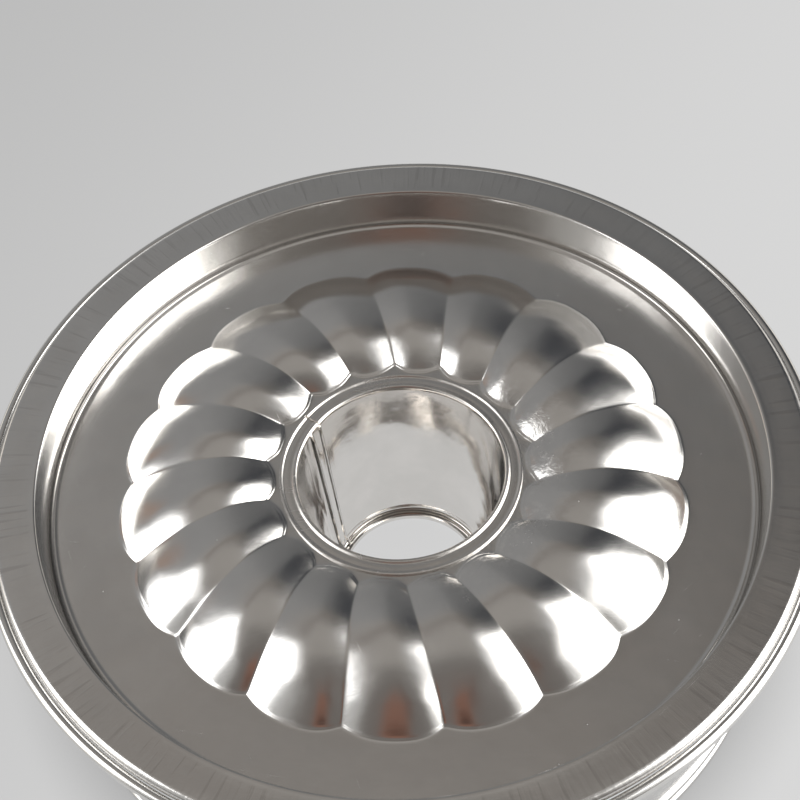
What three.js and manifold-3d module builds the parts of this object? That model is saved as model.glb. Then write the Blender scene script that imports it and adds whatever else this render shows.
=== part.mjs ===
// Springform bundt pan: a drawn, fluted tube base lying underside-up on its springform ring.
// Millimetres, +Z up. The table plane is z = 0 and the ring's axis is the Z axis.
import * as THREE from 'three';
import { mergeVertices } from 'three/addons/utils/BufferGeometryUtils.js';
import Module from 'manifold-3d';

const wasm = await Module();
wasm.setup();

// ---- Driving dimensions ----
const sheet = 0.5;

// Fluted base: heights of the flange, the flat field and the web around the tube
const flangeTop = 71;
const fieldTop = flangeTop - 13.5;
const webTop = flangeTop - 7.2;
const webHoleRadius = 34.4;
const stepFootRadius = 115;
const stepHeadRadius = 117;
const stepFillet = 0.7;
const hemRadius = 2.2;
const hemCentreRadius = 128.9;

// Flutes: one groove line and one crest line, both parabolas over the radius. Across a flute the
// height arches from groove to groove, with the crest a little past the middle.
const fluteCount = 18;
const columnsPerFlute = 5;
const fluteStations = 7;
const groove = { peak: 60.2, drop: 2.8, innerCurve: 0.0168, outerCurve: 0.0131 };
const crest = { peak: 60.4, drop: 1.35, innerCurve: 0.0155, outerCurve: 0.012 };
const crestPlace = 0.56;
const archPower = 1.6;
const fluteEdgeRange = { inner: 38, outer: 96 };
const twist = { innerRadius: 44, outerRadius: 88.8, outerAngle: 13.5, swing: 5.6, power: 1.6 };

// Chimney tube, clinched on the web by its out-turned lip and rolled in at its far end
const tubeLipRadius = 39.5;
const tubeMouthRadius = 33.4;
const tubeMouthFillet = 1.2;
const tubeLipGap = 0.1;
const tubeEndBore = 26;
const tubeEndHeight = 0.3;
const tubeCurl = 0.8;
const tubeSegments = 40;

// Springform ring: conical wall with a rolled rim, a groove for a base and a rolled foot
const rimCentre = { radius: 132.85, height: 66.7 };
const rimRoll = 2;
const rimWireRadius = 1.2;
const footRoll = 1.7;
const footFacetAngle = 36;
const footCentreRadius = 120.35;
const baseGroove = { height: 7.2, depth: 1.6 };
const bandStepAngle = 5.5;
const stripStepAngle = 2;
const backSplit = 0.03;
const rimWireEnds = { left: [91, 266], right: [-88, 89] };

// At the latch one end of the band carries a joggled tongue that slides inside the other end
const bandEndS = -4;
const tongue = { tipS: 7, rootS: -7.4, joggleS: -5, low: 12, high: 61, inset: 1 };

// Latch, laid out along the ring (s), up the wall (h) and out from the wall (n)
const latchHeight = 34;
const pivotOut = 6;
const leverPivotS = -14;
const leverCrank = 6;
const catchPivotS = 16;
const pinRadius = 1.5;
const pinClearance = 0.06;
const partGap = 0.3;
const plateThickness = 0.8;
const earThickness = 1;
const bracketEarInside = 8.2;
const leverEarInside = 10.2;
const linkHalfHeight = 6.8;
const linkEyeRadius = 2.7;
const linkHalfThickness = 0.5;
const leverReach = 52;
const leverEarRound = 3.4;
const leverEarHeel = 1;
const leverEarTip = { back: 14, drop: 3.9 };
const leverPlate = { rootS: -23.6, out: 10.4, thickness: 1 };
const leverLip = { back: 3.2, rise: 1.9, edgeBack: 0.5, edgeDrop: 0.9 };
const leverBracketSpan = { fromS: -24.5, toS: -5.2 };
const catchBracketSpan = { fromS: 8.6, toS: 27 };
const bracketPlateMargin = 1.4;
const leverBracketEar = { footHalf: 4.4, roundRadius: 3.8 };
const catchBracketEar = { footHalf: 6.5, roundRadius: 4.6 };
const earFootOut = 0.25;

// The catch slot lets the link's pin lag along the ring and rise while the lever swings
const catchSlack = { s: -1.15, n: 1.9 };
const catchSlotClearance = 0.45;

// Rivets through each bracket and the band, at two places along the ring and two heights
const leverRivetS = [-10.8, -19.5];
const catchRivetS = [13, 22];
const rivetHeight = 15;
const rivetShank = 1.6;
const rivetHoleDepth = 12;
const rivetHead = 2.6;
const rivetTail = 0.6;
const rivetDome = 1.2;
const domeProfile = [{ across: 0.85, up: 0.6 }, { across: 0.45, up: 0.9 }, { across: 0, up: 1 }];
const rivetSegments = 12;
const pinSegments = 16;
const pinHead = 2.3;
const pinHeadThickness = 0.7;

// ---- Derived values ----
const footCentre = { radius: footCentreRadius, height: footRoll * Math.cos(radians(footFacetAngle / 2)) };
const wallFootRadius = footCentre.radius - footRoll;
const wallHeadRadius = rimCentre.radius - rimRoll;
const wallSlope = (wallHeadRadius - wallFootRadius) / (rimCentre.height - footCentre.height);
const wallTilt = Math.atan(wallSlope);
const linkPivotS = leverPivotS - leverCrank;

function wallInner(height) {
  return wallFootRadius + wallSlope * (height - footCentre.height);
}

function wallOuter(height) {
  return wallInner(height) + sheet / Math.cos(wallTilt);
}

const latchRadius = wallOuter(latchHeight);

// ---- Shared helpers ----
function radians(angle) {
  return THREE.MathUtils.degToRad(angle);
}

// Points on a circle in the (radius, height) plane, from one angle to another in degrees
function arcPoints(centreR, centreZ, radius, from, to, count) {
  const points = [];
  for (let i = 0; i <= count; i += 1) {
    const angle = radians(from + ((to - from) * i) / count);
    const r = centreR + radius * Math.cos(angle);
    const z = centreZ + radius * Math.sin(angle);
    points.push(new THREE.Vector2(r, z));
  }
  return points;
}

// The path moved sideways by a distance, to the right of its travel
function offsetPath(path, distance) {
  return path.map((point, i) => {
    const before = path[Math.max(i - 1, 0)];
    const after = path[Math.min(i + 1, path.length - 1)];
    const into = point.clone().sub(before);
    const out = after.clone().sub(point);
    const first = i === 0 ? out.clone().normalize() : into.clone().normalize();
    const second = i === path.length - 1 ? first : out.clone().normalize();
    const along = first.clone().add(second).normalize();
    const mitre = distance / Math.max(along.dot(first), 0.5);
    return new THREE.Vector2(point.x + along.y * mitre, point.y - along.x * mitre);
  });
}

// Closed counter-clockwise outline of a sheet that follows the path on one of its faces
function sheetOutline(path, thickness) {
  const outline = [...path, ...offsetPath(path, thickness).reverse()];
  return THREE.ShapeUtils.isClockWise(outline) ? outline.reverse() : outline;
}

function latheAroundZ(outline, segments) {
  const geometry = new THREE.LatheGeometry([...outline, outline[0]], segments);
  return geometry.rotateX(Math.PI / 2);
}

class ArcPath extends THREE.Curve {
  constructor(radius, from, to) {
    super();
    this.radius = radius;
    this.from = radians(from);
    this.to = radians(to);
  }

  getPoint(t, target = new THREE.Vector3()) {
    const angle = this.from + (this.to - this.from) * t;
    return target.set(this.radius * Math.cos(angle), this.radius * Math.sin(angle), 0);
  }
}

// A (radius, height) outline carried around the ring's axis, with closed ends
function sweepAroundZ(outline, from, to, stepAngle) {
  const pathRadius = latchRadius;
  const shape = new THREE.Shape(outline.map((p) => new THREE.Vector2(-p.y, pathRadius - p.x)));
  const steps = Math.max(2, Math.round((to - from) / stepAngle));
  const extrudePath = new ArcPath(pathRadius, from, to);
  return new THREE.ExtrudeGeometry(shape, { steps, bevelEnabled: false, extrudePath });
}

function toSolid(geometry) {
  const bare = geometry.clone();
  bare.deleteAttribute('normal');
  bare.deleteAttribute('uv');
  const merged = mergeVertices(bare, 1e-4);
  const vertProperties = new Float32Array(merged.attributes.position.array);
  const triVerts = new Uint32Array(merged.index.array);
  return new wasm.Manifold(new wasm.Mesh({ numProp: 3, vertProperties, triVerts }));
}

function toGeometry(solid) {
  const mesh = solid.getMesh();
  const geometry = new THREE.BufferGeometry();
  geometry.setAttribute('position', new THREE.BufferAttribute(mesh.vertProperties, 3));
  geometry.setIndex(new THREE.BufferAttribute(mesh.triVerts, 1));
  return geometry;
}

function join(geometries) {
  return toGeometry(geometries.map(toSolid).reduce((whole, part) => whole.add(part)));
}

function cut(geometry, tools) {
  return toGeometry(tools.map(toSolid).reduce((whole, tool) => whole.subtract(tool), toSolid(geometry)));
}

function steel(color, roughness) {
  return new THREE.MeshStandardMaterial({ color, roughness, metalness: 1 });
}

const tinplate = steel(0xa9a6a1, 0.22);
const bandTin = steel(0xc4c4c4, 0.2);
const wireSteel = steel(0x8b8d8f, 0.4);
const latchSteel = steel(0xb2b3b4, 0.3);
const rivetSteel = steel(0x9c9d9e, 0.35);

function addPiece(group, name, geometry, material) {
  const mesh = new THREE.Mesh(geometry, material.clone());
  mesh.name = name;
  group.add(mesh);
  return mesh;
}

// ---- Fluted base ----
function parabola(line, radius) {
  const curve = radius < line.peak ? line.innerCurve : line.outerCurve;
  return flangeTop - line.drop - curve * (radius - line.peak) ** 2;
}

// Height of the fluted surface at a radius and a place across one flute, 0 to 1
function fluteHeight(radius, across) {
  const beside = across < crestPlace ? crestPlace - across : across - crestPlace;
  const reach = across < crestPlace ? crestPlace : 1 - crestPlace;
  const arch = 1 - (beside / reach) ** archPower;
  const low = parabola(groove, radius);
  return low + (parabola(crest, radius) - low) * arch;
}

// Radius where the fluted surface meets a flat level, between a low and a high radius
function fluteEdge(level, across, low, high) {
  const rising = fluteHeight(high, across) > level;
  let [a, b] = [low, high];
  for (let i = 0; i < 40; i += 1) {
    const middle = (a + b) / 2;
    const above = fluteHeight(middle, across) > level;
    if (above === rising) b = middle;
    else a = middle;
  }
  return (a + b) / 2;
}

function twistAngle(radius) {
  const held = THREE.MathUtils.clamp(radius, twist.innerRadius, twist.outerRadius);
  const inward = (twist.outerRadius - held) / (twist.outerRadius - twist.innerRadius);
  return twist.outerAngle - twist.swing * inward ** twist.power;
}

// Upper face of the drawn plate from its centre hole to the hem, for one place across a flute
function plateFace(across) {
  const inner = fluteEdge(webTop, across, fluteEdgeRange.inner, groove.peak);
  const outer = fluteEdge(fieldTop, across, groove.peak, fluteEdgeRange.outer);
  const path = [new THREE.Vector2(webHoleRadius, webTop)];
  for (let i = 0; i <= fluteStations; i += 1) {
    const radius = inner + ((outer - inner) * i) / fluteStations;
    path.push(new THREE.Vector2(radius, fluteHeight(radius, across)));
  }
  path.push(new THREE.Vector2(stepFootRadius - stepFillet, fieldTop));
  path.push(new THREE.Vector2(stepFootRadius, fieldTop + stepFillet));
  path.push(new THREE.Vector2(stepHeadRadius - stepFillet / 2, flangeTop - stepFillet));
  path.push(new THREE.Vector2(stepHeadRadius + stepFillet / 2, flangeTop));
  path.push(...arcPoints(hemCentreRadius, flangeTop - hemRadius, hemRadius, 90, -150, 5));
  return path;
}

function flutedBaseGeometry() {
  const outlines = [];
  for (let i = 0; i < columnsPerFlute; i += 1) {
    const face = plateFace(i / columnsPerFlute);
    outlines.push([...face, ...offsetPath(face, sheet).reverse()].reverse());
  }
  const columns = fluteCount * columnsPerFlute;
  const geometry = latheAroundZ(outlines[0], columns);
  const rows = outlines[0].length + 1;
  const position = geometry.attributes.position;
  for (let i = 0; i < position.count; i += 1) {
    const column = Math.floor(i / rows);
    const outline = outlines[column % columnsPerFlute];
    const point = outline[(i % rows) % outline.length];
    const angle = radians((360 * (column % columns)) / columns + twistAngle(point.x));
    position.setXYZ(i, point.x * Math.cos(angle), point.x * Math.sin(angle), point.y);
  }
  return geometry;
}

// ---- Chimney tube ----
function chimneyTubeGeometry() {
  const lipTop = webTop + tubeLipGap + sheet;
  const filletCentre = tubeMouthRadius + tubeMouthFillet;
  const curlHeight = tubeEndHeight + tubeCurl + sheet;
  const face = [
    new THREE.Vector2(tubeLipRadius, lipTop),
    ...arcPoints(filletCentre, lipTop - tubeMouthFillet, tubeMouthFillet, 90, 180, 3),
    ...arcPoints(tubeEndBore - tubeCurl, curlHeight, tubeCurl, 0, -240, 5),
  ];
  return latheAroundZ(sheetOutline(face, -sheet), tubeSegments);
}

// ---- Springform ring ----
// Inner face of the band, from the end of the rolled foot to the end of the rolled rim
function bandFace() {
  const grooveArc = arcPoints(0, baseGroove.height, baseGroove.depth, -90, 90, 4);
  return [
    ...arcPoints(footCentre.radius, footCentre.height, footRoll, 2 * footFacetAngle, -180, 7),
    ...grooveArc.map((point) => new THREE.Vector2(wallInner(point.y) + point.x, point.y)),
    ...arcPoints(rimCentre.radius, rimCentre.height, rimRoll, 180, -112, 8),
  ];
}

// A plain strip of the wall between two heights, its inner face set off from the band's inner face
function wallStrip(from, to, low, high, setOff, thickness) {
  const face = [
    new THREE.Vector2(wallInner(low) + setOff, low),
    new THREE.Vector2(wallInner(high) + setOff, high),
  ];
  return sweepAroundZ(sheetOutline(face, thickness), from, to, stripStepAngle);
}

function angleAt(s) {
  return 270 + THREE.MathUtils.radToDeg(Math.asin(s / latchRadius));
}

function leftBandGeometry() {
  const band = sweepAroundZ(sheetOutline(bandFace(), sheet), 90 + backSplit, angleAt(bandEndS), bandStepAngle);
  const tongueStrip = wallStrip(
    angleAt(tongue.rootS), angleAt(tongue.tipS), tongue.low, tongue.high, -tongue.inset, sheet);
  const joggle = wallStrip(
    angleAt(tongue.rootS), angleAt(tongue.joggleS), tongue.low, tongue.high, -tongue.inset, tongue.inset);
  return cut(join([band, tongueStrip, joggle]), rivetHoles(leverRivets));
}

function rightBandGeometry() {
  const start = angleAt(bandEndS + partGap) - 360;
  const band = sweepAroundZ(sheetOutline(bandFace(), sheet), start, 90 - backSplit, bandStepAngle);
  return cut(band, rivetHoles(catchRivets));
}

function rimWireGeometry(from, to) {
  const outline = arcPoints(rimCentre.radius, rimCentre.height, rimWireRadius, 0, 315, 7);
  return sweepAroundZ(outline, from, to, bandStepAngle);
}

// ---- Latch frame: x runs along the ring (s), y up the wall (h), z out from the wall (n) ----
const latch = new THREE.Group();
latch.position.set(0, -latchRadius, latchHeight);
latch.rotation.x = Math.PI / 2 + wallTilt;
latch.updateMatrix();
const intoLatch = latch.matrix.clone().invert();

const leverRivets = leverRivetS.flatMap((s) => [-rivetHeight, rivetHeight].map((h) => ({ s, h })));
const catchRivets = catchRivetS.flatMap((s) => [-rivetHeight, rivetHeight].map((h) => ({ s, h })));

// How far the round wall falls back from the latch plane at a place along the ring
function wallFallback(s, h) {
  const radius = latchRadius + h * Math.sin(wallTilt);
  return radius - Math.sqrt(radius ** 2 - s ** 2);
}

// Turned so that +Z of the part points straight out of the wall at (s, h)
function placeOnWall(object, { s, h }) {
  object.position.set(s, h, -wallFallback(s, h));
  object.rotation.y = Math.asin(s / latchRadius);
  object.updateMatrix();
  return object;
}

function rivetHoles(rivets) {
  return rivets.map((rivet) => {
    const radius = rivetShank + partGap;
    const hole = new THREE.CylinderGeometry(radius, radius, rivetHoleDepth, rivetSegments);
    hole.rotateX(Math.PI / 2);
    const place = placeOnWall(new THREE.Object3D(), rivet);
    return hole.applyMatrix4(place.matrix).applyMatrix4(latch.matrix);
  });
}

// Domed head outside the bracket plate, shank through plate and band, flat tail inside
function rivetGeometry() {
  const headFoot = partGap + plateThickness + partGap;
  const tailTop = -sheet - partGap;
  const outline = [
    new THREE.Vector2(0, tailTop - rivetTail),
    new THREE.Vector2(rivetHead, tailTop - rivetTail),
    new THREE.Vector2(rivetHead, tailTop),
    new THREE.Vector2(rivetShank, tailTop),
    new THREE.Vector2(rivetShank, headFoot),
    new THREE.Vector2(rivetHead, headFoot),
    ...domeProfile.map(({ across, up }) => new THREE.Vector2(rivetHead * across, headFoot + rivetDome * up)),
  ];
  return new THREE.LatheGeometry(outline, rivetSegments).rotateX(Math.PI / 2);
}

// Flat plate with a rounded outline in the (s, n) plane, standing across the latch at height h
function earGeometry(shape, thickness, h) {
  const geometry = new THREE.ExtrudeGeometry(shape, { depth: thickness, bevelEnabled: false, curveSegments: 6 });
  // Shape x stays along s, shape y becomes n, and the depth runs along -h
  geometry.rotateX(Math.PI / 2);
  return geometry.translate(0, h + thickness, 0);
}

// Two ears with a foot on the wall and a round top, one above and one below the link
function bracketEars(centreS, centreOut, { footHalf, roundRadius }) {
  const shape = new THREE.Shape();
  shape.moveTo(centreS - footHalf, earFootOut);
  shape.lineTo(centreS + footHalf, earFootOut);
  shape.lineTo(centreS + roundRadius, centreOut);
  shape.absarc(centreS, centreOut, roundRadius, 0, Math.PI, false);
  shape.closePath();
  return [-bracketEarInside - earThickness, bracketEarInside].map((h) => earGeometry(shape, earThickness, h));
}

function pivotHole(s, n, radius) {
  const hole = new THREE.CylinderGeometry(radius, radius, 4 * leverEarInside, pinSegments);
  return hole.translate(s, 0, n);
}

// Curved plate on the wall, in the latch frame
function basePlate({ fromS, toS }) {
  const half = rivetHeight + rivetHead + bracketPlateMargin;
  const low = latchHeight - half * Math.cos(wallTilt);
  const high = latchHeight + half * Math.cos(wallTilt);
  const setOff = (sheet + partGap) / Math.cos(wallTilt);
  const plate = wallStrip(angleAt(fromS), angleAt(toS), low, high, setOff, plateThickness);
  return plate.applyMatrix4(intoLatch);
}

function bracketGeometry(span, ears, pivotCutter, plateRivets) {
  const holes = rivetHoles(plateRivets).map((hole) => hole.applyMatrix4(intoLatch));
  return cut(join([basePlate(span), ...ears]), [pivotCutter, ...holes]);
}

// ---- Latch parts ----
function leverBracketGeometry() {
  const ears = bracketEars(leverPivotS, pivotOut, leverBracketEar);
  const hole = pivotHole(leverPivotS, pivotOut, pinRadius + pinClearance);
  return bracketGeometry(leverBracketSpan, ears, hole, leverRivets);
}

function catchBracketGeometry() {
  const slot = new THREE.Shape();
  const radius = pinRadius + catchSlotClearance;
  const side = Math.atan2(catchSlack.n, catchSlack.s) - Math.PI / 2;
  slot.absarc(catchPivotS, pivotOut, radius, side - Math.PI, side, false);
  slot.absarc(catchPivotS + catchSlack.s, pivotOut + catchSlack.n, radius, side, side + Math.PI, false);
  slot.closePath();
  const cutter = earGeometry(slot, 4 * leverEarInside, -2 * leverEarInside);
  const ears = bracketEars(catchPivotS + catchSlack.s / 2, pivotOut + catchSlack.n / 2, catchBracketEar);
  return bracketGeometry(catchBracketSpan, ears, cutter, catchRivets);
}

// Lever: a curved finger plate that follows the ring, and two ears that carry the pivots
function leverGeometry() {
  const inner = latchRadius + leverPlate.out;
  const outer = inner + leverPlate.thickness;
  const halfHeight = leverEarInside + earThickness;
  const root = -Math.asin(-leverPlate.rootS / inner);
  const tip = -Math.asin(leverReach / inner);
  const centre = -latchRadius;
  const finger = new THREE.Shape();
  finger.absarc(0, centre, inner, Math.PI / 2 - tip, Math.PI / 2 - root, true);
  finger.absarc(0, centre, outer, Math.PI / 2 - root, Math.PI / 2 - tip, false);
  const tipS = outer * Math.sin(tip);
  const tipOut = centre + outer * Math.cos(tip);
  finger.lineTo(tipS - leverLip.back, tipOut + leverLip.rise);
  finger.lineTo(tipS - leverLip.back - leverLip.edgeBack, tipOut + leverLip.rise - leverLip.edgeDrop);
  finger.closePath();
  const plate = earGeometry(finger, 2 * halfHeight, -halfHeight);
  const ear = new THREE.Shape();
  ear.absarc(leverPivotS, pivotOut, leverEarRound, -Math.PI / 2, Math.PI / 2, false);
  ear.lineTo(leverPlate.rootS, leverPlate.out);
  ear.lineTo(leverPlate.rootS - leverEarTip.back, leverPlate.out - leverEarTip.drop);
  ear.lineTo(linkPivotS - leverEarHeel, pivotOut - leverEarRound);
  ear.closePath();
  const ears = [-halfHeight, leverEarInside].map((h) => earGeometry(ear, earThickness, h));
  const radius = pinRadius + pinClearance;
  const holes = [pivotHole(leverPivotS, pivotOut, radius), pivotHole(linkPivotS, pivotOut, radius)];
  return cut(join([plate, ...ears]), holes);
}

// Link: a flat strap with an eye rolled around each of its two pins
function linkGeometry() {
  const bore = pinRadius + pinClearance;
  const strap = new THREE.Shape();
  strap.moveTo(linkPivotS, pivotOut - linkHalfThickness);
  strap.lineTo(catchPivotS, pivotOut - linkHalfThickness);
  strap.lineTo(catchPivotS, pivotOut + linkHalfThickness);
  strap.lineTo(linkPivotS, pivotOut + linkHalfThickness);
  strap.closePath();
  const plate = earGeometry(strap, 2 * linkHalfHeight, -linkHalfHeight);
  const eyes = [linkPivotS, catchPivotS].map((s) => {
    const roll = new THREE.CylinderGeometry(linkEyeRadius, linkEyeRadius, 2 * linkHalfHeight, pinSegments);
    return roll.translate(s, 0, pivotOut);
  });
  const bores = [linkPivotS, catchPivotS].map((s) => pivotHole(s, pivotOut, bore));
  return cut(join([plate, ...eyes]), bores);
}

// Pin along h with a head at each end
function pinGeometry(halfGrip, centreH) {
  const end = halfGrip + partGap / 3;
  const outline = [
    new THREE.Vector2(0, -end - pinHeadThickness),
    new THREE.Vector2(pinHead, -end - pinHeadThickness),
    new THREE.Vector2(pinHead, -end),
    new THREE.Vector2(pinRadius, -end),
    new THREE.Vector2(pinRadius, end),
    new THREE.Vector2(pinHead, end),
    new THREE.Vector2(pinHead, end + pinHeadThickness),
    new THREE.Vector2(0, end + pinHeadThickness),
  ];
  return new THREE.LatheGeometry(outline, pinSegments).translate(0, centreH, 0);
}

// ---- Assembly ----
const pan = new THREE.Group();
addPiece(pan, 'fluted_base', flutedBaseGeometry(), tinplate);
addPiece(pan, 'chimney_tube', chimneyTubeGeometry(), tinplate);
addPiece(pan, 'side_band_left', leftBandGeometry(), bandTin);
addPiece(pan, 'side_band_right', rightBandGeometry(), bandTin);
addPiece(pan, 'rim_wire_left', rimWireGeometry(...rimWireEnds.left), wireSteel);
addPiece(pan, 'rim_wire_right', rimWireGeometry(...rimWireEnds.right), wireSteel);

pan.add(latch);
addPiece(latch, 'lever_bracket', leverBracketGeometry(), latchSteel);
addPiece(latch, 'catch_bracket', catchBracketGeometry(), latchSteel);
addPiece(latch, 'latch_lever', leverGeometry(), latchSteel);
addPiece(latch, 'latch_link', linkGeometry(), latchSteel);

// Two stub pivots hold the lever, so that the link can pass between them
const stubHalfGrip = (leverEarInside + earThickness - bracketEarInside) / 2;
const stubCentre = bracketEarInside + stubHalfGrip;
const upperPivot = addPiece(latch, 'lever_pivot_upper', pinGeometry(stubHalfGrip, stubCentre), rivetSteel);
const lowerPivot = addPiece(latch, 'lever_pivot_lower', pinGeometry(stubHalfGrip, -stubCentre), rivetSteel);
upperPivot.position.set(leverPivotS, 0, pivotOut);
lowerPivot.position.set(leverPivotS, 0, pivotOut);

const linkPin = addPiece(latch, 'link_pin', pinGeometry(leverEarInside + earThickness, 0), rivetSteel);
linkPin.position.set(linkPivotS, 0, pivotOut);
const catchPin = addPiece(latch, 'catch_pin', pinGeometry(bracketEarInside + earThickness, 0), rivetSteel);
catchPin.position.set(catchPivotS, 0, pivotOut);

leverRivets.forEach((rivet, i) => {
  placeOnWall(addPiece(latch, `lever_bracket_rivet_${i + 1}`, rivetGeometry(), rivetSteel), rivet);
});
catchRivets.forEach((rivet, i) => {
  placeOnWall(addPiece(latch, `catch_bracket_rivet_${i + 1}`, rivetGeometry(), rivetSteel), rivet);
});

export default pan;
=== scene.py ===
import math

import bpy
import numpy as np
from mathutils import Matrix, Vector


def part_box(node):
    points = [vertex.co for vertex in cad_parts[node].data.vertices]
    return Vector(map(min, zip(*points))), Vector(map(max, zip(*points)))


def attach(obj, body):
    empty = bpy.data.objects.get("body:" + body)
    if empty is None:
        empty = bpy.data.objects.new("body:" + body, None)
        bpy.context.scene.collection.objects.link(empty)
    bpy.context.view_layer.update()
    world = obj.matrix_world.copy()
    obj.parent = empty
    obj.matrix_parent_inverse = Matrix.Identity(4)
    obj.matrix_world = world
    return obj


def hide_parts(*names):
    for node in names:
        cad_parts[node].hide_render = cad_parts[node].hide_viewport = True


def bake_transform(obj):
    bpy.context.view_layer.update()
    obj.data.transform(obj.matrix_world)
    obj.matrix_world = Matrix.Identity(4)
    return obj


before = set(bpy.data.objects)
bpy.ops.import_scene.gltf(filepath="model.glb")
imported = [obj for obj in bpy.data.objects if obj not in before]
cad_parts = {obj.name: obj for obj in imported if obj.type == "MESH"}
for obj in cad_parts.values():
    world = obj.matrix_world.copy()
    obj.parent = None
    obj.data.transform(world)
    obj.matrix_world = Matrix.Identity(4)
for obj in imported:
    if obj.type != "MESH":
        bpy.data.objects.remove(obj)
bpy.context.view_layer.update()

# A springform bundt pan: the fluted tube base lies underside-up on its ring, latch at -Y.
# Lengths below are millimetres and angles are degrees; meshes are written in metres.

MM = 0.001


def high_corner(node):
    """The highest corner of a CAD node's box, in millimetres."""
    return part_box(node)[1] / MM


# ---- Dimensions, read from the CAD where its boxes hold them ----
base_high = high_corner("fluted_base")
tube_high = high_corner("chimney_tube")

SHEET = 0.5
SHARP_ANGLE = 40
FLANGE_TOP = base_high.z
FIELD_TOP = FLANGE_TOP - 13.5
WEB_TOP = FLANGE_TOP - 7.2
WEB_HOLE = 34.4
STEP_FOOT = 115.0
STEP_HEAD = 117.0
HEAD_ROUNDING = 0.85
HEM_RADIUS = 2.2
HEM_CENTRE = base_high.x - HEM_RADIUS

# Bead and groove at the foot of the step: places measured out from the foot and up from the field
FOOT_BEAD = [(-2.6, 0), (-2.1, 0.1), (-1.7, 0.28), (-1.3, 0.34), (-0.9, 0.26), (-0.6, 0.05)]
FOOT_GROOVE = [(-0.35, -0.2), (-0.05, -0.34), (0.2, -0.22), (0.32, 0.1)]

# Flutes: a groove line and a crest line, both parabolas over the radius, with an arch between them
FLUTES = 18
FLUTE_COLUMNS = 28
FLUTE_STATIONS = 64
GROOVE = {"peak": 60.2, "drop": 2.8, "inner": 0.0168, "outer": 0.0131}
CREST = {"peak": 60.4, "drop": 1.35, "inner": 0.0155, "outer": 0.012}
CREST_PLACE = 0.56
ARCH_POWER = {"middle": 1.6, "ends": 2.6, "centre": 62, "from": 13, "to": 21}
GROOVE_ROUNDING = 0.03
FLUTE_EDGE_RANGE = {"inner": 38, "outer": 96}
EDGE_ROUNDING = 0.3
EDGE_RIDGE = {"height": 0.13, "width": 0.4}
EDGE_STATIONS = (0.15, 0.35, 0.6, 1.0, 1.6, 2.4)
FIELD_END = 112
TWIST = {"inner": 44, "outer": 88.8, "angle": 13.5, "swing": 5.6, "power": 1.6}

# Tube: the lip's points are measured out from its rim or from the tube's mouth, and up from its top
TUBE_LIP = tube_high.x
TUBE_LIP_TOP = tube_high.z
TUBE_MOUTH = 33.4
LIP_OUTER_BEAD = [
    (-0.05, -0.6), (0.02, -0.25), (-0.15, 0.1), (-0.5, 0.24),
    (-0.9, 0.16), (-1.2, -0.1), (-1.45, -0.22), (-1.8, -0.2),
]
LIP_FLAT = [(3.6, -0.14), (2.6, -0.12)]
LIP_INNER_BEAD = [
    (2.2, -0.18), (1.95, -0.12), (1.7, 0.08), (1.4, 0.26), (1.0, 0.32),
    (0.6, 0.2), (0.3, -0.1), (0.1, -0.6), (0.0, -1.4),
]
# Cone as (radius, height below the lip's top), then the pinch above the curl as (radius, height)
TUBE_WALL = [(33.0, -5.0), (32.2, -12.0), (31.1, -22.0), (29.9, -33.0), (28.7, -44.0), (27.5, -54.5)]
TUBE_SHOULDER = [(26.95, 5.8), (26.5, 5.0), (26.05, 4.3), (25.8, 3.7), (25.85, 3.1)]
TUBE_CURL = {"radius": 24.75, "height": 2.0, "roll": 1.35}
TUBE_SEAM = {"angle": 143.5, "slant": 6.0, "height": 0.85, "fold": 0.2}
LIP_NOTCH = {"offset": -4.2, "depth": 0.6}

# Ring: the latch is at the front; s is measured along the ring from the latch
RIM = {"radius": 132.85, "height": 66.7, "roll": 2.0}
FOOT = {"radius": 120.35, "height": 1.7, "roll": 1.7}
BASE_GROOVE = {"height": 7.2, "depth": 1.6}
LATCH_ANGLE = 270
BACK_ANGLE = 90
BACK_HALF_ANGLE = 13.0
BAND_STEP = 1.0
LEFT_END_S = -4.0
RIGHT_END_S = -3.7
TONGUE = {"tip": 7.0, "root": -7.4, "low": 12, "high": 61, "inset": 1.0}

wall_foot = FOOT["radius"] - FOOT["roll"]
wall_head = RIM["radius"] - RIM["roll"]
wall_slope = (wall_head - wall_foot) / (RIM["height"] - FOOT["height"])
wall_tilt = math.atan(wall_slope)


def wall_inner(height):
    """Radius of the conical wall's inner face."""
    return wall_foot + wall_slope * (height - FOOT["height"])


LATCH_HEIGHT = 34.0
latch_radius = wall_inner(LATCH_HEIGHT) + SHEET / math.cos(wall_tilt)


# ---- Mesh helpers ----
def arc(centre_r, centre_z, radius, start, end, count):
    """Points on a circle in the (radius, height) plane."""
    angles = np.radians(np.linspace(start, end, count + 1))
    return list(zip(centre_r + radius * np.cos(angles), centre_z + radius * np.sin(angles)))


def offset_path(path, distance):
    """The path moved sideways, to the right of its travel."""
    points = np.array(path, float)
    steps = np.diff(points, axis=0)
    steps /= np.linalg.norm(steps, axis=1)[:, None]
    before = np.vstack([steps[:1], steps])
    after = np.vstack([steps, steps[-1:]])
    along = before + after
    along /= np.linalg.norm(along, axis=1)[:, None]
    mitre = distance / np.maximum((along * before).sum(1), 0.5)
    return points + np.stack([along[:, 1] * mitre, -along[:, 0] * mitre], 1)


def sheet_loop(path, thickness):
    """Closed outline of a sheet with one face on the path and the other to its right."""
    return np.vstack([np.array(path, float), offset_path(path, thickness)[::-1]])


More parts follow.
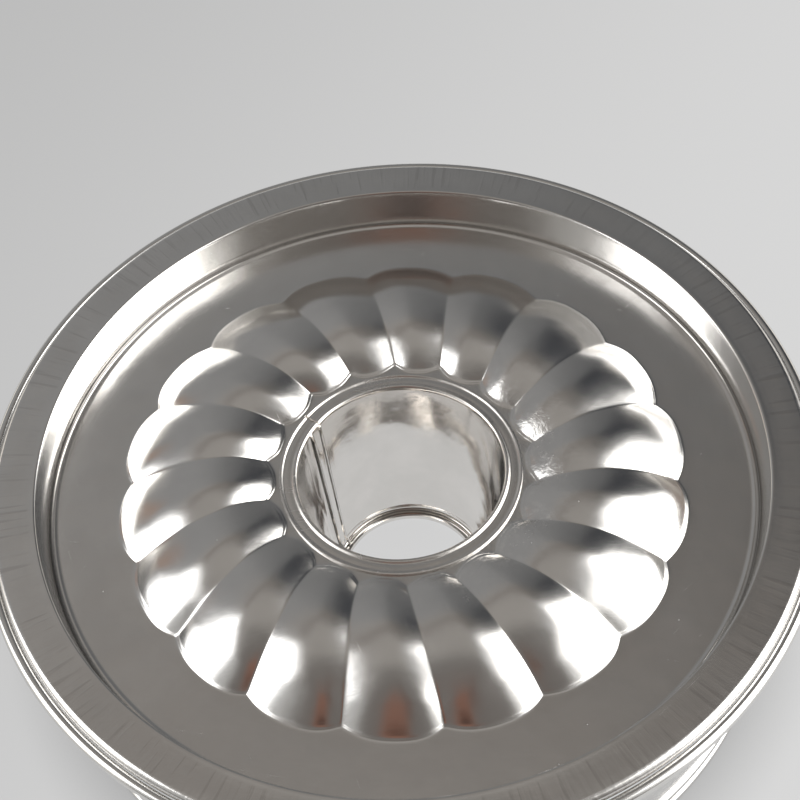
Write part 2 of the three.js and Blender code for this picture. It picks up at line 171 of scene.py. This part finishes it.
def mesh_object(name, points, faces, material):
    mesh = bpy.data.meshes.new(name)
    mesh.from_pydata((np.array(points, float) * MM).tolist(), [], faces)
    mesh.polygons.foreach_set("use_smooth", [True] * len(mesh.polygons))
    mesh.set_sharp_from_angle(angle=math.radians(SHARP_ANGLE))
    mesh.validate()
    mesh.update()
    mesh.materials.append(material)
    obj = bpy.data.objects.new(name, mesh)
    bpy.context.scene.collection.objects.link(obj)
    return obj


def grid_faces(columns, rows, closed):
    """Quads between neighbouring columns, each a closed loop of rows; closed joins last to first."""
    faces = []
    spans = columns if closed else columns - 1
    for c in range(spans):
        left = c * rows
        right = ((c + 1) % columns) * rows
        for r in range(rows):
            up = (r + 1) % rows
            faces.append((left + r, right + r, right + up, left + up))
    return faces


def end_caps(columns, rows):
    """Quads across the sheet's thickness at both ends of an open sweep."""
    faces = []
    half = rows // 2
    last = (columns - 1) * rows
    for r in range(half - 1):
        inner, outer = r, rows - 1 - r
        faces.append((inner, inner + 1, outer - 1, outer))
        faces.append((last + inner, last + outer, last + outer - 1, last + inner + 1))
    return faces


def around_z(loops, angles):
    """Points of (radius, height) loops, each turned by its angle or by one angle per point."""
    points = []
    for loop, angle in zip(loops, angles):
        turn = np.radians(angle)
        radius = loop[:, 0]
        points.append(np.stack([radius * np.cos(turn), radius * np.sin(turn), loop[:, 1]], 1))
    return np.vstack(points)


def ring_part(name, loop, material, start, end, step):
    """A loop carried round the axis from one angle to another, with capped ends."""
    angles = np.linspace(start, end, max(3, round((end - start) / step) + 1))
    faces = grid_faces(len(angles), len(loop), False) + end_caps(len(angles), len(loop))
    return mesh_object(name, around_z([loop] * len(angles), angles), faces, material)


# ---- Shader helpers ----
class Shader:
    """Adds nodes to a tree and joins them."""

    def __init__(self, tree):
        self.tree = tree
        tree.nodes.clear()

    def add(self, kind, inputs=None, **settings):
        node = self.tree.nodes.new(kind)
        for key, value in settings.items():
            setattr(node, key, value)
        for key, value in (inputs or {}).items():
            if isinstance(value, bpy.types.NodeSocket):
                self.tree.links.new(value, node.inputs[key])
            else:
                node.inputs[key].default_value = value
        return node

    def math(self, operation, a, b=0.0, c=0.0):
        return self.add("ShaderNodeMath", {0: a, 1: b, 2: c}, operation=operation).outputs[0]

    def vector(self, operation, a, b=(0, 0, 0)):
        return self.add("ShaderNodeVectorMath", {0: a, 1: b}, operation=operation)

    def combine(self, x, y, z):
        return self.add("ShaderNodeCombineXYZ", {"X": x, "Y": y, "Z": z}).outputs[0]

    def ramp(self, value, low, high, to_low=0.0, to_high=1.0):
        node = self.add(
            "ShaderNodeMapRange",
            {"Value": value, "From Min": low, "From Max": high, "To Min": to_low, "To Max": to_high},
            interpolation_type="SMOOTHSTEP",
        )
        return node.outputs[0]

    def noise(self, vector, scale, detail=2.0, roughness=0.5):
        inputs = {"Vector": vector, "Scale": scale, "Detail": detail, "Roughness": roughness}
        return self.add("ShaderNodeTexNoise", inputs).outputs["Fac"]

    def mix(self, factor, a, b):
        node = self.add("ShaderNodeMix", data_type="RGBA")
        for index, value in ((0, factor), (6, a), (7, b)):
            if isinstance(value, bpy.types.NodeSocket):
                self.tree.links.new(value, node.inputs[index])
            else:
                node.inputs[index].default_value = value
        return node.outputs[2]

    def bump(self, height, distance_mm, normal=None):
        inputs = {"Height": height, "Distance": distance_mm * MM, "Strength": 1.0}
        if normal is not None:
            inputs["Normal"] = normal
        return self.add("ShaderNodeBump", inputs).outputs[0]


def position_mm(shader):
    """Place on the piece, in the CAD's frame."""
    coordinates = shader.add("ShaderNodeTexCoord").outputs["Object"]
    return shader.vector("MULTIPLY", coordinates, (1 / MM,) * 3).outputs[0]


def polar(shader, position):
    """Radius in mm, angle in radians and height in mm."""
    parts = shader.add("ShaderNodeSeparateXYZ", {0: position}).outputs
    flat = shader.combine(parts[0], parts[1], 0.0)
    radius = shader.vector("LENGTH", flat).outputs["Value"]
    angle = shader.math("ARCTAN2", parts[1], parts[0])
    return radius, angle, parts[2]


# ---- Materials ----
LIP_TONE = (0.70, 0.675, 0.645, 1)
MARK_TONE = (0.42, 0.40, 0.38, 1)
# Colour of the painted shade in the groove at the step's foot
GROOVE_SHADE_TONE = (0.22, 0.20, 0.18, 1)
DUST_TONE = (0.95, 0.95, 0.94, 1)


def scratches(shader, position, spacing, threshold):
    """Mask of fine straight scratches in three directions, broken up into patches."""
    mask = None
    for turn in (17, 74, 141):
        turned = {"Vector": position, "Angle": math.radians(turn)}
        rotated = shader.add("ShaderNodeVectorRotate", turned, rotation_type="Z_AXIS").outputs[0]
        stretched = shader.vector("MULTIPLY", rotated, (0.06, 1 / spacing, 0.3)).outputs[0]
        lines = shader.ramp(shader.noise(stretched, 1.0, 1.0), threshold, threshold + 0.04)
        mask = lines if mask is None else shader.math("MAXIMUM", mask, lines)
    return mask


def specks(shader, position, spacing, size):
    """Mask of small round specks, one in each cell of a loose grid, only some of them kept."""
    cells = shader.add("ShaderNodeTexVoronoi", {"Vector": position, "Scale": 1 / spacing})
    near = shader.ramp(cells.outputs["Distance"], size / spacing, 0.4 * size / spacing)
    pick = shader.add("ShaderNodeSeparateXYZ", {0: cells.outputs["Color"]}).outputs[0]
    return shader.math("MULTIPLY", near, shader.ramp(pick, 0.55, 0.6))


def rolling_streaks(shader, radius, angle, height):
    """Noise drawn out along the band, as a rolled strip has."""
    drawn = shader.combine(
        shader.math("MULTIPLY", angle, 5.0),
        shader.math("MULTIPLY", radius, 0.2),
        shader.math("MULTIPLY", height, 2.2),
    )
    return shader.noise(drawn, 1.0, 3.0, 0.65)


def tin(name, colour, roughness, waviness=0.1, ripple=0.0, scratch=0.10, streaks=0.0, marks=None):
    """Bright tinplate: satin mirror with soft waves, smudges, scratches and what marks adds to it."""
    material = bpy.data.materials.new(name)
    material.use_nodes = True
    shader = Shader(material.node_tree)
    position = position_mm(shader)
    radius, angle, height = polar(shader, position)

    smudge = shader.noise(position, 0.045, 4.0, 0.6)
    brushed = shader.vector("MULTIPLY", position, (0.25, 2.4, 0.8)).outputs[0]
    grain = shader.noise(brushed, 1.0, 2.0, 0.6)
    lines = scratches(shader, position, 0.45, 0.76)
    rough = shader.math("MULTIPLY_ADD", shader.math("SUBTRACT", smudge, 0.5), 0.12, roughness)
    rough = shader.math("MULTIPLY_ADD", shader.math("SUBTRACT", grain, 0.5), 0.08, rough)
    rough = shader.math("MULTIPLY_ADD", lines, scratch, rough)

    dark = tuple(0.93 * c for c in colour) + (1,)
    tone = shader.mix(shader.ramp(smudge, 0.3, 0.7), tuple(colour) + (1,), dark)

    # Bumps, the widest first
    normal = shader.bump(shader.noise(position, 0.03, 1.5), waviness)
    if ripple:
        normal = shader.bump(shader.noise(position, 0.09, 1.0), ripple, normal)
        normal = shader.bump(shader.noise(position, 0.27, 1.0), 0.2 * ripple, normal)
    normal = shader.bump(grain, 0.007, normal)
    normal = shader.bump(lines, -0.003, normal)
    if streaks:
        rolled = rolling_streaks(shader, radius, angle, height)
        normal = shader.bump(rolled, streaks, normal)
        rough = shader.math("MULTIPLY_ADD", rolled, 0.08, rough)
    if marks:
        tone, rough, normal = marks(shader, position, tone, rough, normal)

    surface = shader.add(
        "ShaderNodeBsdfPrincipled",
        {"Base Color": tone, "Metallic": 1.0, "Roughness": rough, "Normal": normal},
    )
    shader.add("ShaderNodeOutputMaterial", {"Surface": surface.outputs[0]})
    return material


def lip_marks(shader, position, tone, rough, normal):
    """Turned rings on the tube's lip, which is duller and browner than its wall."""
    radius, angle, _ = polar(shader, position)
    on_lip = shader.ramp(radius, TUBE_MOUTH + 0.2, TUBE_MOUTH + 0.8)
    rings = shader.combine(shader.math("MULTIPLY", radius, 3.5), shader.math("MULTIPLY", angle, 5.0), 0.0)
    turned = shader.noise(rings, 1.0, 3.0, 0.7)
    normal = shader.bump(shader.math("MULTIPLY", turned, on_lip), 0.02, normal)
    rough = shader.math("MULTIPLY_ADD", on_lip, 0.12, rough)
    tone = shader.mix(shader.math("MULTIPLY", on_lip, 0.6), tone, LIP_TONE)
    return tone, rough, normal


def flange_marks(shader, position, tone, normal):
    """Radial drawing marks on the flange, stronger in some patches than in others."""
    radius, angle, _ = polar(shader, position)
    along = shader.combine(shader.math("MULTIPLY", angle, 60.0), shader.math("MULTIPLY", radius, 0.025), 0.0)
    marks = shader.noise(along, 1.0, 3.0, 0.6)
    on_flange = shader.ramp(radius, STEP_HEAD + 1.5, STEP_HEAD + 3.5)
    patches = shader.ramp(shader.noise(position, 0.016, 1.0), 0.30, 0.55, 0.25, 1.0)
    depth = shader.math("MULTIPLY", on_flange, patches)
    normal = shader.bump(shader.math("MULTIPLY", marks, depth), 0.042, normal)
    dark = shader.math("MULTIPLY", shader.ramp(marks, 0.54, 0.64), depth)
    tone = shader.mix(shader.math("MULTIPLY", dark, 0.26), tone, MARK_TONE)
    return tone, normal


def groove_shade(shader, radius, tone):
    """Painted shade: a dark line in the groove at the foot of the step."""
    from_field = shader.ramp(radius, STEP_FOOT - 0.5, STEP_FOOT - 0.2)
    from_step = shader.ramp(radius, STEP_FOOT + 0.45, STEP_FOOT + 0.2)
    corner = shader.math("MULTIPLY", from_field, from_step)
    return shader.mix(shader.math("MULTIPLY", corner, 0.6), tone, GROOVE_SHADE_TONE)


def inner_end_marks(shader, position, radius, rough, normal):
    """Orange peel and scuffs at the flutes' inner ends, most of them on one side, and small ticks."""
    inner_ends = shader.ramp(radius, 62, 50)
    peel = shader.noise(position, 0.55, 2.0, 0.6)
    towards = shader.vector("DOT_PRODUCT", position, (0.94, -0.34, 0)).outputs["Value"]
    peel_side = shader.ramp(towards, 5, 40, 0.15, 1.0)
    peel_depth = shader.math("MULTIPLY", inner_ends, peel_side)
    normal = shader.bump(shader.math("MULTIPLY", peel, peel_depth), 0.10, normal)
    scuffs = shader.math("MULTIPLY", shader.ramp(peel, 0.52, 0.62), peel_depth)
    rough = shader.math("MULTIPLY_ADD", scuffs, 0.08, rough)
    drawn_out = shader.vector("MULTIPLY", position, (1.0, 0.45, 1.0)).outputs[0]
    ticks = specks(shader, drawn_out, 9.0, 0.45)
    normal = shader.bump(shader.math("MULTIPLY", ticks, inner_ends), 0.06, normal)
    return rough, normal


def plate_marks(shader, position, tone, rough, normal):
    """What the fluted plate shows beside plain tin: drawing marks, painted shade in the step's groove,
    scuffs and dust.
    """
    radius = polar(shader, position)[0]
    tone, normal = flange_marks(shader, position, tone, normal)
    # Painted shade darkens the groove at the step's foot
    tone = groove_shade(shader, radius, tone)
    rough, normal = inner_end_marks(shader, position, radius, rough, normal)
    on_field = shader.math("MULTIPLY", shader.ramp(radius, 93, 97), shader.ramp(radius, 114, 112))
    rough = shader.math("MULTIPLY_ADD", on_field, 0.02, rough)
    dust = specks(shader, position, 8.0, 0.22)
    rough = shader.math("MULTIPLY_ADD", dust, 0.4, rough)
    return shader.mix(dust, tone, DUST_TONE), rough, normal


plate_tin = tin(
    "plate_tin", (0.79, 0.775, 0.755), 0.18, waviness=0.2, ripple=0.09, scratch=0.06, marks=plate_marks
)
tube_tin = tin("tube_tin", (0.87, 0.85, 0.825), 0.13, waviness=1.9, ripple=0.2, marks=lip_marks)
band_tin = tin("band_tin", (0.82, 0.81, 0.79), 0.12, waviness=0.25, ripple=0.05, streaks=0.006)
wire_steel = tin("wire_steel", (0.55, 0.55, 0.56), 0.35)
latch_steel = tin("latch_steel", (0.70, 0.70, 0.71), 0.24, scratch=0.2)
rivet_steel = tin("rivet_steel", (0.62, 0.62, 0.63), 0.28)


# ---- Fluted base ----
def parabola(line, radius):
    """Height of the groove line or the crest line."""
    curve = line["inner"] if radius < line["peak"] else line["outer"]
    return FLANGE_TOP - line["drop"] - curve * (radius - line["peak"]) ** 2


def flute_height(radius, across):
    """Height of the flutes at a radius and a place across one flute, 0 to 1."""
    reach = CREST_PLACE if across < CREST_PLACE else 1 - CREST_PLACE
    beside = abs(across - CREST_PLACE) / reach
    rounded = math.hypot(1 - beside, GROOVE_ROUNDING) - GROOVE_ROUNDING
    rounded /= math.hypot(1, GROOVE_ROUNDING) - GROOVE_ROUNDING
    outwards = abs(radius - ARCH_POWER["centre"])
    fuller = np.interp(outwards, [ARCH_POWER["from"], ARCH_POWER["to"]], [0, 1])
    power = ARCH_POWER["middle"] + (ARCH_POWER["ends"] - ARCH_POWER["middle"]) * fuller**2
    low = parabola(GROOVE, radius)
    return low + (parabola(CREST, radius) - low) * (1 - (1 - rounded) ** power)


def flute_edge(level, across, low, high):
    """Radius where the flutes meet a flat level, found by halving."""
    rising = flute_height(high, across) > level
    for _ in range(40):
        middle = (low + high) / 2
        if (flute_height(middle, across) > level) == rising:
            high = middle
        else:
            low = middle
    return (low + high) / 2


def twist_angle(radius):
    """How far the flutes lean round the axis at a radius."""
    held = np.clip(radius, TWIST["inner"], TWIST["outer"])
    inward = (TWIST["outer"] - held) / (TWIST["outer"] - TWIST["inner"])
    return TWIST["angle"] - TWIST["swing"] * inward ** TWIST["power"]


def round_meeting(a, b):
    """The higher of two heights, with the meeting line rounded."""
    return (a + b + math.hypot(a - b, EDGE_ROUNDING)) / 2


def step_and_flange():
    """Bead and groove at the foot of the step, the step, its rounded head, the flange and the hem."""
    field, top = FIELD_TOP, FLANGE_TOP
    path = [(STEP_FOOT + r, field + z) for r, z in FOOT_BEAD + FOOT_GROOVE]
    path += [(STEP_FOOT + 0.45, field + 1.2), (STEP_FOOT + 1.1, field + 6.5), (STEP_HEAD - 0.25, top - 1.8)]
    path += arc(STEP_HEAD + 0.75, top - 0.75, HEAD_ROUNDING, 172, 84, 7)
    path += [(STEP_HEAD + r, top + z) for r, z in ((1.6, 0.06), (2.4, 0.0), (4.5, -0.02), (8, -0.02))]
    return path + arc(HEM_CENTRE, top - HEM_RADIUS, HEM_RADIUS, 92, -150, 22)


def plate_face(across):
    """The plate's upper face from the web's hole to the hem, at one place across a flute."""
    inner = flute_edge(WEB_TOP, across, FLUTE_EDGE_RANGE["inner"], GROOVE["peak"])
    outer = flute_edge(FIELD_TOP, across, GROOVE["peak"], FLUTE_EDGE_RANGE["outer"])
    even = np.linspace(0, 1, FLUTE_STATIONS + 1)
    crowded = (1 - np.cos(np.pi * even)) / 2
    along = inner + (outer - inner) * (0.4 * even + 0.6 * crowded)
    before = [inner - d for d in EDGE_STATIONS[::-1]]
    after = [outer + d for d in EDGE_STATIONS]
    path = []
    for radius in [WEB_HOLE] + before + list(along) + after:
        flat = WEB_TOP if radius < GROOVE["peak"] else FIELD_TOP
        away = min(abs(radius - inner), abs(radius - outer)) / EDGE_RIDGE["width"]
        ridge = EDGE_RIDGE["height"] * math.exp(-(away**2))
        path.append((radius, round_meeting(flute_height(radius, across), flat) + ridge))
    field = np.linspace(after[-1], FIELD_END, 14)[1:]
    return path + [(r, FIELD_TOP) for r in field] + step_and_flange()


def stands_for(obj, body, node):
    """Puts a piece on its body in place of a CAD node."""
    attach(obj, body)
    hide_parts(node)


def fluted_base():
    """The drawn plate: one flute's sheet outlines, repeated round the axis and leaned."""
    places = (1 - np.cos(np.pi * np.arange(FLUTE_COLUMNS) / FLUTE_COLUMNS)) / 2
    flute = [sheet_loop(plate_face(place), SHEET) for place in places]
    angles = []
    for number in range(FLUTES):
        for place, loop in zip(places, flute):
            angles.append((number + place) * 360 / FLUTES + twist_angle(loop[:, 0]))
    faces = grid_faces(FLUTES * FLUTE_COLUMNS, len(flute[0]), True)
    obj = mesh_object("base_plate", around_z(flute * FLUTES, angles), faces, plate_tin)
    stands_for(obj, "tube_base", "fluted_base")


# ---- Chimney tube ----
def tube_face():
    """Lip with a bead at each side, then the cone and the bead rolled in at the far end."""
    top = TUBE_LIP_TOP
    path = [(TUBE_LIP + r, top + z) for r, z in LIP_OUTER_BEAD]
    path += [(TUBE_MOUTH + r, top + z) for r, z in LIP_FLAT + LIP_INNER_BEAD]
    path += [(r, top + z) for r, z in TUBE_WALL]
    path += TUBE_SHOULDER
    return path + arc(TUBE_CURL["radius"], TUBE_CURL["height"], TUBE_CURL["roll"], 48, -230, 20)


def seam_columns():
    """Angles round the tube from its seam, each with how far the seam stands out and the lip is cut."""
    fold = TUBE_SEAM["fold"]
    bead = [(0, 0), (0.2, 0.5), (0.6, 0.9), (1.2, 1), (1.8, 0.9), (2.2, 0.5), (2.4, 0.3)]
    seam = [(offset - 5.4, height) for offset, height in bead]
    seam += [(-2.0, fold), (1.6, fold)]
    seam += [(offset + 2.4, 1.2 * height) for offset, height in bead]
    seam += [(5.0, 0), (6.5, -0.15), (9, 0), (12.9, 0), (13.1, -0.2), (13.3, 0)]
    around = [(offset, 0) for offset in np.linspace(16, 350, 220)]
    columns = {offset: (height, 0) for offset, height in seam + around}
    for step, depth in ((-0.6, 0), (-0.35, 1), (0.25, 1), (0.5, 0)):
        offset = LIP_NOTCH["offset"] + step
        height = np.interp(offset, [o for o, _ in seam], [h for _, h in seam])
        columns[offset] = (height, depth)
    return sorted(columns.items())


def chimney_tube():
    """The tube with its folded seam and the cut in its lip."""
    face = np.array(tube_face())
    inside = offset_path(face, -SHEET)
    on_wall = np.clip((TUBE_LIP_TOP - 0.4 - face[:, 1]) / 1.5, 0, 1)
    loops = []
    angles = []
    for offset, (height, depth) in seam_columns():
        raised = TUBE_SEAM["height"] * height * on_wall - LIP_NOTCH["depth"] * depth * (1 - on_wall)
        loop = np.vstack([offset_path(face, raised), inside[::-1]])
        slant = TUBE_SEAM["slant"] * (TUBE_LIP_TOP - loop[:, 1]) / TUBE_LIP_TOP
        loops.append(loop)
        angles.append(TUBE_SEAM["angle"] + offset + slant)
    faces = grid_faces(len(loops), len(loops[0]), True)
    obj = mesh_object("tube", around_z(loops, angles), faces, tube_tin)
    stands_for(obj, "tube_base", "chimney_tube")


# ---- Springform band ----
def band_face():
    """The band's inner face: rolled foot, groove for a base, conical wall and rolled rim."""
    groove = []
    for angle in np.radians(np.linspace(-90, 90, 9)):
        z = BASE_GROOVE["height"] + BASE_GROOVE["depth"] * math.sin(angle)
        groove.append((wall_inner(z) + BASE_GROOVE["depth"] * math.cos(angle), z))
    foot = arc(FOOT["radius"], FOOT["height"], FOOT["roll"], 72, -180, 20)
    rim = arc(RIM["radius"], RIM["height"], RIM["roll"], 180, -112, 26)
    return foot + groove + rim


def angle_at(s):
    """Angle round the axis of a place along the ring, measured from the latch."""
    return LATCH_ANGLE + math.degrees(math.asin(s / latch_radius))


def tongue_face():
    """The plain strip that slides inside the band's other end."""
    low, high = TONGUE["low"], TONGUE["high"]
    heights = (low, low + 1, (low + high) / 2, high - 1, high)
    return [(wall_inner(z) - TONGUE["inset"], z) for z in heights]


def side_band():
    """Two sides that ride on their halves of the ring, a fixed back between them, and the tongue on the left
    half.
    """
    loop = sheet_loop(band_face(), SHEET)
    back_start, back_end = BACK_ANGLE - BACK_HALF_ANGLE, BACK_ANGLE + BACK_HALF_ANGLE
    left = ring_part("band_left", loop, band_tin, back_end, angle_at(LEFT_END_S), BAND_STEP)
    right = ring_part("band_right", loop, band_tin, angle_at(RIGHT_END_S) - 360, back_start, BAND_STEP)
    stands_for(left, "ring_left", "side_band_left")
    stands_for(right, "ring_right", "side_band_right")

    back = ring_part("band_back", loop, band_tin, back_start, back_end, BAND_STEP)
    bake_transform(back)

    strip = sheet_loop(tongue_face(), SHEET)
    root, tip = angle_at(TONGUE["root"]), angle_at(TONGUE["tip"])
    tongue = ring_part("band_tongue", strip, band_tin, root, tip, BAND_STEP / 2)
    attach(tongue, "ring_left")


fluted_base()
chimney_tube()
side_band()


# ---- Materials of the CAD nodes that stay ----
def finish_node(node, material, bevel_mm):
    """Gives a CAD node its material, smooth shading and, if asked, softened edges."""
    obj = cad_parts[node]
    obj.data.materials.clear()
    obj.data.materials.append(material)
    for polygon in obj.data.polygons:
        polygon.use_smooth = True
    if bevel_mm:
        bevel = obj.modifiers.new("bevel", "BEVEL")
        bevel.width = bevel_mm * MM
        bevel.segments = 2
        bevel.limit_method = "ANGLE"
        bevel.angle_limit = math.radians(SHARP_ANGLE)
        bevel.harden_normals = True


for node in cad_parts:
    if node.startswith("rim_wire"):
        finish_node(node, wire_steel, 0)
    elif "rivet" in node or "pin" in node or "pivot" in node:
        finish_node(node, rivet_steel, 0.1)
    elif "bracket" in node or node.startswith("latch"):
        finish_node(node, latch_steel, 0.15)


# ---- Table, light and camera ----
# The table glows a little, so that it stays pale inside the tube and round the ring, with a soft
# shade where the ring stands on it
TABLE_HALF = 6000
TABLE_GLOW = {"from": -400, "to": 120, "low": 0.45, "high": 0.64, "azimuth": 125}
CONTACT = {"reach": 24.0, "depth": 0.6, "from": 100, "to": 118}


def facing(azimuth, elevation):
    """Unit vector; azimuth 0 is +Y, away from the camera, and 90 is +X."""
    a, e = math.radians(azimuth), math.radians(elevation)
    return Vector((math.sin(a) * math.cos(e), math.cos(a) * math.cos(e), math.sin(e)))


def floor():
    """The pale table."""
    half = TABLE_HALF * MM
    corners = [(-half, -half, 0), (half, -half, 0), (half, half, 0), (-half, half, 0)]
    mesh = bpy.data.meshes.new("floor")
    mesh.from_pydata(corners, [], [(0, 1, 2, 3)])
    material = bpy.data.materials.new("floor_paint")
    material.use_nodes = True
    shader = Shader(material.node_tree)
    position = position_mm(shader)
    cloud = shader.noise(position, 0.002, 2.0)
    tone = shader.mix(cloud, (0.035, 0.035, 0.035, 1), (0.045, 0.045, 0.045, 1))
    light_side = facing(TABLE_GLOW["azimuth"], 0)
    towards_light = shader.vector("DOT_PRODUCT", position, light_side).outputs["Value"]
    ends = (TABLE_GLOW["from"], TABLE_GLOW["to"], TABLE_GLOW["low"], TABLE_GLOW["high"])
    open_air = shader.add("ShaderNodeAmbientOcclusion", {"Distance": CONTACT["reach"] * MM}).outputs["AO"]
    beside_ring = shader.ramp(polar(shader, position)[0], CONTACT["from"], CONTACT["to"])
    covered = shader.math("MULTIPLY", shader.math("SUBTRACT", open_air, 1.0), CONTACT["depth"])
    shade = shader.math("MULTIPLY_ADD", covered, beside_ring, 1.0)
    glow = shader.math("MULTIPLY", shader.ramp(towards_light, *ends), shade)
    surface = shader.add(
        "ShaderNodeBsdfPrincipled",
        {
            "Base Color": tone, "Roughness": 0.7, "Specular IOR Level": 0.1,
            "Emission Color": (1, 1, 1, 1), "Emission Strength": glow,
        },
    )
    shader.add("ShaderNodeOutputMaterial", {"Surface": surface.outputs[0]})
    mesh.materials.append(material)
    obj = bpy.data.objects.new("floor", mesh)
    bpy.context.scene.collection.objects.link(obj)


def studio():
    """World light: a grey room, soft windows left and right and warm cards on the camera's side."""
    world = bpy.data.worlds.new("studio")
    world.use_nodes = True
    bpy.context.scene.world = world
    shader = Shader(world.node_tree)
    direction = shader.add("ShaderNodeTexCoord").outputs["Generated"]
    parts = shader.add("ShaderNodeSeparateXYZ", {0: direction}).outputs
    elevation = shader.math("DEGREES", shader.math("ARCSINE", parts[2]))

    def card(colour, azimuths, elevations, soft, base, tilt=0.0):
        """Lays a soft-edged patch of light over the base colour; tilt raises its right-hand end."""
        middle = sum(azimuths) / 2
        half = (azimuths[1] - azimuths[0]) / 2
        ahead = shader.vector("DOT_PRODUCT", direction, facing(middle, 0)).outputs["Value"]
        aside = shader.vector("DOT_PRODUCT", direction, facing(middle + 90, 0)).outputs["Value"]
        away = shader.math("DEGREES", shader.math("ARCTAN2", aside, ahead))
        height = shader.math("MULTIPLY_ADD", away, -tilt, elevation)
        inside = shader.ramp(shader.math("ABSOLUTE", away), half + soft, half - soft)
        above = shader.ramp(height, elevations[0] - soft, elevations[0] + soft)
        below = shader.ramp(height, elevations[1] + soft, elevations[1] - soft)
        mask = shader.math("MULTIPLY", inside, shader.math("MULTIPLY", above, below))
        return shader.mix(mask, base, tuple(colour) + (1,))

    # The room: lighter on the left, with a dark corner on the right and a dim camera's side
    flat = shader.vector("MULTIPLY", direction, (1, 1, 0)).outputs[0]
    flat_unit = shader.vector("NORMALIZE", flat).outputs[0]
    sideways = shader.add("ShaderNodeSeparateXYZ", {0: flat_unit}).outputs[0]
    turned = shader.ramp(sideways, -0.5, 0.55)
    low = shader.mix(turned, (0.282, 0.282, 0.282, 1), (0.122, 0.124, 0.127, 1))
    high = shader.mix(turned, (0.318, 0.303, 0.287, 1), (0.138, 0.128, 0.119, 1))
    sky = shader.mix(shader.ramp(elevation, 46, 60), low, high)
    sky = card((0.040, 0.043, 0.050), (26, 45), (17, 53), 8, sky)
    sky = card((0.165, 0.152, 0.142), (120, 240), (-20, 80), 12, sky)

    # The ceiling
    backward = shader.math("MULTIPLY", parts[1], -1.0)
    over_pan = shader.ramp(backward, -0.03, 0.25)
    zenith = shader.mix(over_pan, (0.335, 0.318, 0.298, 1), (0.17, 0.16, 0.15, 1))
    sky = shader.mix(shader.ramp(elevation, 62, 73), sky, zenith)
    sky = card((0.215, 0.195, 0.18), (-62, 25), (60, 65), 4, sky)

    # Warm and dark cards behind the camera, and a warm one on the left
    sky = card((0.235, 0.118, 0.084), (180, 204), (30, 66), 7, sky)
    sky = card((0.15, 0.105, 0.09), (168, 182), (52, 72), 5, sky)
    sky = card((0.02, 0.013, 0.011), (183, 197), (28, 46), 5, sky)
    sky = card((0.34, 0.24, 0.19), (-60, -50), (16, 32), 5, sky)

    # Dimmer light over the right-hand window and beside both
    sky = card((0.50, 0.50, 0.50), (46, 120), (60, 74), 7, sky)
    sky = card((1.0, 1.0, 0.98), (118, 136), (10, 58), 9, sky)
    sky = card((0.5, 0.5, 0.49), (-130, -112), (12, 54), 9, sky)

    # The windows, each with a warm patch below it or beside it
    sky = card((3.5, 3.5, 3.5), (-108, -72), (12, 58), 7, sky, 0.1)
    sky = card((1.15, 1.08, 0.97), (-112, -36), (-12, 12), 7, sky)
    sky = card((4.2, 4.15, 4.05), (59, 124), (2, 63), 7, sky, -0.12)
    sky = card((1.15, 1.09, 1.0), (30, 52), (-12, 12), 6, sky)
    background = shader.add("ShaderNodeBackground", {"Color": sky, "Strength": 1.0})
    shader.add("ShaderNodeOutputWorld", {"Surface": background.outputs[0]})


CAMERA = {"elevation": 54.5, "roll": 5.73, "turn": 0.203, "nod": 1.85, "distance": 575.86, "lens": 81}


def cos_sin(degrees):
    angle = math.radians(degrees)
    return math.cos(angle), math.sin(angle)


def camera():
    """Looks at the flange's centre from the front and above, with a little roll."""
    cos_e, sin_e = cos_sin(CAMERA["elevation"])
    cos_t, sin_t = cos_sin(CAMERA["turn"])
    cos_n, sin_n = cos_sin(CAMERA["nod"])
    cos_r, sin_r = cos_sin(CAMERA["roll"])
    level = Matrix(((1, 0, 0), (0, sin_e, cos_e), (0, cos_e, -sin_e)))
    yaw = Matrix(((cos_t, 0, -sin_t), (0, 1, 0), (sin_t, 0, cos_t)))
    pitch = Matrix(((1, 0, 0), (0, cos_n, -sin_n), (0, sin_n, cos_n)))
    rolled = Matrix(((cos_r, -sin_r, 0), (sin_r, cos_r, 0), (0, 0, 1)))
    right, up, forward = rolled @ pitch @ yaw @ level

    data = bpy.data.cameras.new("camera")
    data.sensor_width = 36
    data.lens = CAMERA["lens"]
    data.clip_start = 10 * MM
    placed = Matrix((right, up, -forward)).transposed().to_4x4()
    target = Vector((0, 0, FLANGE_TOP))
    placed.translation = (target + CAMERA["distance"] * Vector((0, -cos_e, sin_e))) * MM
    obj = bpy.data.objects.new("camera", data)
    obj.matrix_world = placed
    bpy.context.scene.collection.objects.link(obj)
    bpy.context.scene.camera = obj


floor()
studio()
camera()
bpy.context.scene.view_settings.view_transform = "Standard"
